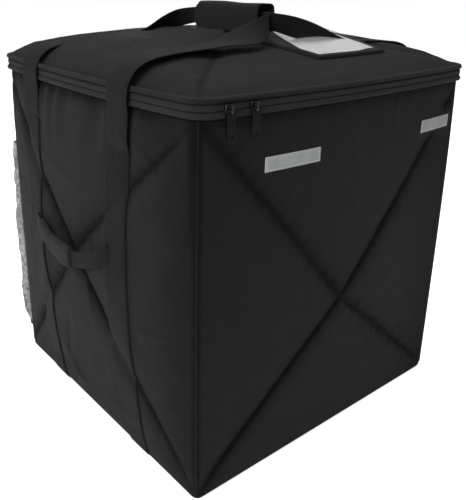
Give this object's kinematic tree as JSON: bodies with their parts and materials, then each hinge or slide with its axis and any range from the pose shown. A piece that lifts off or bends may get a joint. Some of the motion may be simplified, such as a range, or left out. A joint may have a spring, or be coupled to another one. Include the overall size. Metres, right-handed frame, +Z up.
{
  "type": "insulated food carrier",
  "caption": "Soft-sided insulated cube carrier with a zipped hinged lid, webbing carry loops joined in a grip wrap, side grab handles and clear document pockets.",
  "frame": {"origin": "centre of the base on the surface the carrier stands on", "axes": "+Z up; the front with the zip sliders faces -Y and the lid hinges along the +Y top edge"},
  "size_m": [0.6892, 0.576, 0.6715],
  "materials": {
    "nylon": "woven coated polyester, matt",
    "webbing": "ribbed polypropylene webbing",
    "piping": "folded binding tape, stitched",
    "foam": "closed-cell polyethylene foam",
    "board": "stiff plastic board",
    "liner": "wipe-clean foil-faced film",
    "zip": "coil zip on woven tape",
    "black_metal": "gloss black electroplate",
    "reflector": "retroreflective tape",
    "vinyl": "clear soft vinyl sheet",
    "paper": "plain white card"
  },
  "bodies": {
    "body": {"base_cover": "nylon", "front_cover": "nylon", "back_cover": "nylon", "left_cover": "nylon", "right_cover": "nylon", "lid_hinge_strip": "nylon", "left_front_strap": "webbing", "left_back_strap": "webbing", "right_front_strap": "webbing", "right_back_strap": "webbing", "base_piping": "piping", "front_left_corner_piping": "piping", "front_right_corner_piping": "piping", "back_left_corner_piping": "piping", "back_right_corner_piping": "piping", "rim_binding": "piping", "back_pocket_binding": "piping", "base_foam": "foam", "front_foam": "foam", "back_foam": "foam", "left_foam": "foam", "right_foam": "foam", "base_board": "board", "liner_tub": "liner", "body_zip_tape": "zip", "body_zip_teeth": "zip", "near_reflector": "reflector", "far_reflector": "reflector", "back_pocket_window": "vinyl"},
    "lid": {"lid_cover": "nylon", "lid_band": "nylon", "lid_foam": "foam", "lid_liner": "liner", "lid_zip_tape": "zip", "lid_zip_teeth": "zip", "lid_piping": "piping", "ticket_backing": "nylon", "ticket_card": "paper", "ticket_window": "vinyl", "ticket_binding": "piping"},
    "left_riser": {"left_front_riser": "webbing", "left_back_riser": "webbing"},
    "left_bight": {"left_bight": "webbing", "grip_wrap": "nylon", "grip_wrap_closure": "webbing"},
    "right_riser": {"right_front_riser": "webbing", "right_back_riser": "webbing"},
    "right_bight": {"right_bight": "webbing"},
    "left_handle": {"left_grab_strap": "webbing", "left_grab_sleeve": "nylon"},
    "right_handle": {"right_grab_strap": "webbing", "right_grab_sleeve": "nylon"},
    "left_slider": {"left_slider": "black_metal"},
    "right_slider": {"right_slider": "black_metal"},
    "left_pull": {"left_pull_tab": "black_metal"},
    "right_pull": {"right_pull_tab": "black_metal"}
  },
  "joints": [
    {"name": "lid_hinge", "type": "hinge", "parent": "body", "child": "lid", "pos_m": [0, 0.2705, 0.5578], "axis": [-1, 0, 0], "range_deg": [0, 105], "deforming": ["lid_hinge_strip"]},
    {"name": "left_riser_hinge", "type": "hinge", "parent": "body", "child": "left_riser", "pos_m": [-0.2979, 0, 0.5005], "axis": [0, -1, 0], "range_deg": [0, 150], "deforming": ["left_front_riser", "left_back_riser"]},
    {"name": "left_bight_hinge", "type": "hinge", "parent": "left_riser", "child": "left_bight", "pos_m": [-0.3, 0, 0.6], "axis": [0, -1, 0], "range_deg": [0, 100], "deforming": ["left_bight"]},
    {"name": "right_riser_hinge", "type": "hinge", "parent": "body", "child": "right_riser", "pos_m": [0.2969, 0, 0.5005], "axis": [0, 1, 0], "range_deg": [0, 150], "deforming": ["right_front_riser", "right_back_riser"]},
    {"name": "right_bight_hinge", "type": "hinge", "parent": "right_riser", "child": "right_bight", "pos_m": [0.3, 0, 0.6], "axis": [0, 1, 0], "range_deg": [0, 100], "deforming": ["right_bight"]},
    {"name": "left_handle_lift", "type": "hinge", "parent": "body", "child": "left_handle", "pos_m": [-0.304, 0, 0.36], "axis": [0, 1, 0], "range_deg": [0, 110]},
    {"name": "right_handle_lift", "type": "hinge", "parent": "body", "child": "right_handle", "pos_m": [0.3012, 0, 0.36], "axis": [0, -1, 0], "range_deg": [0, 110]},
    {"name": "left_slider_run", "type": "hinge", "parent": "body", "child": "left_slider", "pos_m": [0, 2.48314, 0.56915], "axis": [0, 0, 1], "range_deg": [-0.12, 0]},
    {"name": "right_slider_run", "type": "hinge", "parent": "body", "child": "right_slider", "pos_m": [0, 2.48314, 0.56915], "axis": [0, 0, 1], "range_deg": [0, 9]},
    {"name": "left_pull_swing", "type": "hinge", "parent": "left_slider", "child": "left_pull", "pos_m": [-0.24153, -0.28538, 0.56915], "axis": [-0.9962, 0.0869, 0], "range_deg": [0, 150]},
    {"name": "right_pull_swing", "type": "hinge", "parent": "right_slider", "child": "right_pull", "pos_m": [-0.20438, -0.28837, 0.56915], "axis": [-0.9973, 0.0735, 0], "range_deg": [0, 150]}
  ],
  "couplings": [
    {"joint": "left_riser_hinge", "follows": "lid_hinge", "ratio": 1.4286},
    {"joint": "left_bight_hinge", "follows": "lid_hinge", "ratio": 0.95238},
    {"joint": "right_riser_hinge", "follows": "lid_hinge", "ratio": 1.4286},
    {"joint": "right_bight_hinge", "follows": "lid_hinge", "ratio": 0.95238}
  ]
}
